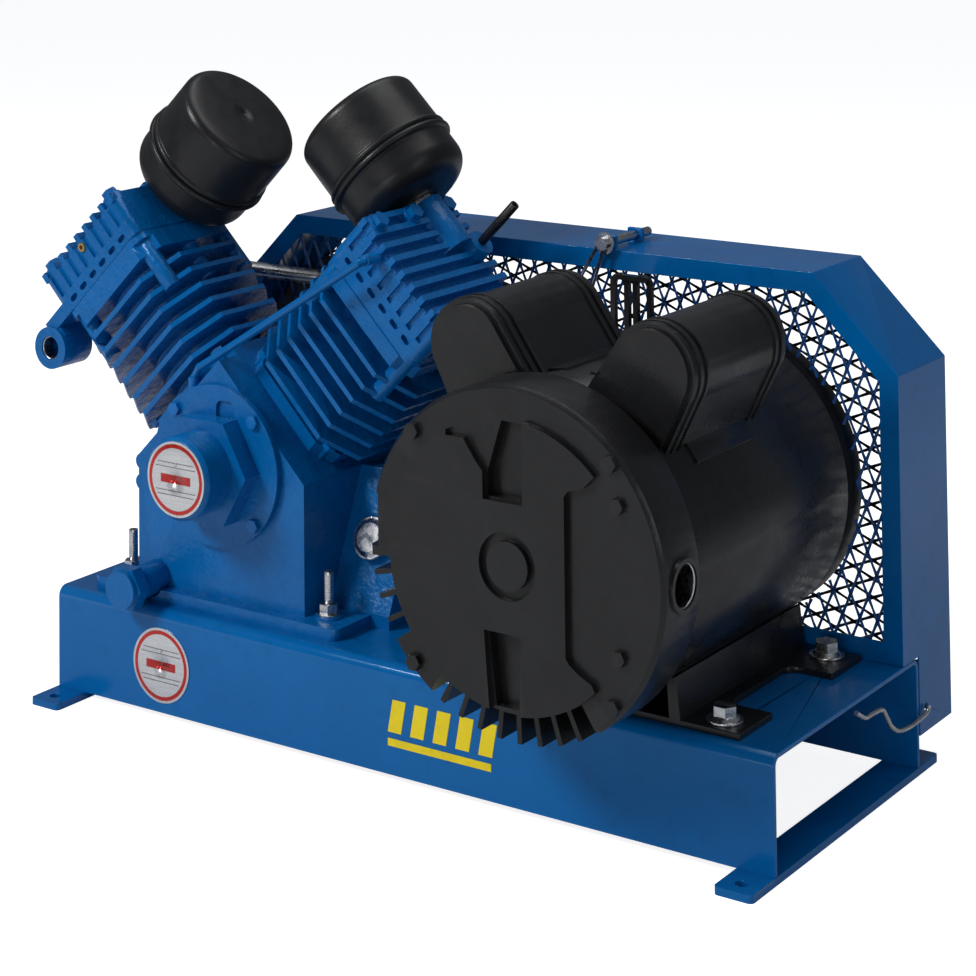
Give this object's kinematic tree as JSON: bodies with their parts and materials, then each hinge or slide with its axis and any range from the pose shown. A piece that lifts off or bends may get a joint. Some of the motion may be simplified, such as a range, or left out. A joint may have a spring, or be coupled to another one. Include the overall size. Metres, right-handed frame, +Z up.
{
  "type": "base-mounted belt-driven air compressor",
  "caption": "Bare air compressor on a folded steel base: V-twin piston pump with intake filters, black electric motor and a mesh belt guard behind, no tank.",
  "frame": {"origin": "centre of the four floor bolt holes, on the floor plane under the foot bars", "axes": "+X along the base from the pump towards the motor, -Y out of the front, +Z up"},
  "size_m": [0.7804, 0.414, 0.5455],
  "materials": {
    "blue_enamel": "gloss blue enamel over rough castings, brushed on, with runs and small chips",
    "guard_enamel": "gloss blue enamel on folded sheet",
    "guard_mesh_blue": "blue enamel on expanded metal",
    "guard_mesh_dark": "near-black expanded metal in shade",
    "badge_metal": "satin printed disc",
    "decal_yellow": "gloss yellow film",
    "zinc_plate": "bright zinc plate, slightly clouded",
    "bright_steel": "machined steel",
    "ring_iron": "ground grey iron",
    "brass_plug": "worn brass",
    "dark_steel": "blackened steel tube",
    "filter_black": "satin black paint on pressed sheet",
    "filter_paper": "pleated paper",
    "dark_iron": "cast iron, near black",
    "cast_aluminium": "cast and machined aluminium",
    "motor_black": "satin black paint",
    "winding_enamel": "varnished copper wire",
    "capacitor_case": "black moulded case",
    "belt_rubber": "matt black rubber"
  },
  "bodies": {
    "root": {"base_channel": "blue_enamel", "foot_bars": "blue_enamel", "badges": "badge_metal", "decal_bars": "decal_yellow", "crankcase": "blue_enamel", "front_cover": "blue_enamel", "cover_screws": "blue_enamel", "bearing_cap": "blue_enamel", "crankcase_studs": "zinc_plate", "drain_pipe": "blue_enamel", "drain_cap": "blue_enamel", "oil_sight_glass": "zinc_plate", "breather_tube": "blue_enamel", "cylinder_left": "blue_enamel", "cylinder_right": "blue_enamel", "cylinder_bolts": "blue_enamel", "valve_plates": "bright_steel", "head_left": "blue_enamel", "head_right": "blue_enamel", "head_bolts": "blue_enamel", "port_plug": "brass_plug", "unloader_stub": "dark_steel", "crossover_tube": "bright_steel", "intake_nipples": "zinc_plate", "filter_base_left": "filter_black", "filter_base_right": "filter_black", "filter_cover_left": "filter_black", "filter_cover_right": "filter_black", "filter_elements": "filter_paper", "ball_bearings": "bright_steel", "bearing_carrier": "blue_enamel", "rod_left": "cast_aluminium", "rod_right": "cast_aluminium", "motor_shell": "motor_black", "stator_core": "bright_steel", "stator_windings": "winding_enamel", "motor_front_bell": "motor_black", "motor_rear_bell": "motor_black", "motor_through_bolts": "motor_black", "v_belts": "belt_rubber", "capacitor_covers": "motor_black", "capacitors": "capacitor_case", "lifting_eye": "motor_black", "motor_foot": "motor_black", "motor_foot_bolts": "zinc_plate", "guard_frame": "guard_enamel", "guard_mesh_front": "guard_mesh_blue", "guard_mesh_rear": "guard_mesh_dark", "hairpin_clip": "zinc_plate"},
    "crank": {"crankshaft": "bright_steel", "flywheel": "dark_iron"},
    "rotor": {"rotor_shaft": "bright_steel", "motor_pulley": "dark_iron"},
    "piston_l": {"piston_left": "cast_aluminium", "wrist_pin_left": "bright_steel", "piston_rings_left": "ring_iron"},
    "piston_r": {"piston_right": "cast_aluminium", "wrist_pin_right": "bright_steel", "piston_rings_right": "ring_iron"},
    "guard_lock": {"guard_pin": "zinc_plate"}
  },
  "joints": [
    {"name": "crank_spin", "type": "hinge", "parent": "root", "child": "crank", "pos_m": [-0.1935, 0, 0.216], "axis": [0, 1, 0], "continuous": true},
    {"name": "rotor_spin", "type": "hinge", "parent": "root", "child": "rotor", "pos_m": [0.1915, 0, 0.22635], "axis": [0, 1, 0], "continuous": true},
    {"name": "piston_left_slide", "type": "slide", "parent": "root", "child": "piston_l", "axis": [-0.7071, 0, 0.7071], "range_m": [-0.0525, 0.011], "deforming": ["rod_left"]},
    {"name": "piston_right_slide", "type": "slide", "parent": "root", "child": "piston_r", "axis": [0.7071, 0, 0.7071], "range_m": [-0.0525, 0.011], "deforming": ["rod_right"]},
    {"name": "guard_pin_slide", "type": "slide", "parent": "root", "child": "guard_lock", "axis": [0, -1, 0], "range_m": [0, 0.085]}
  ],
  "couplings": [
    {"joint": "rotor_spin", "follows": "crank_spin", "ratio": 3.1258}
  ]
}
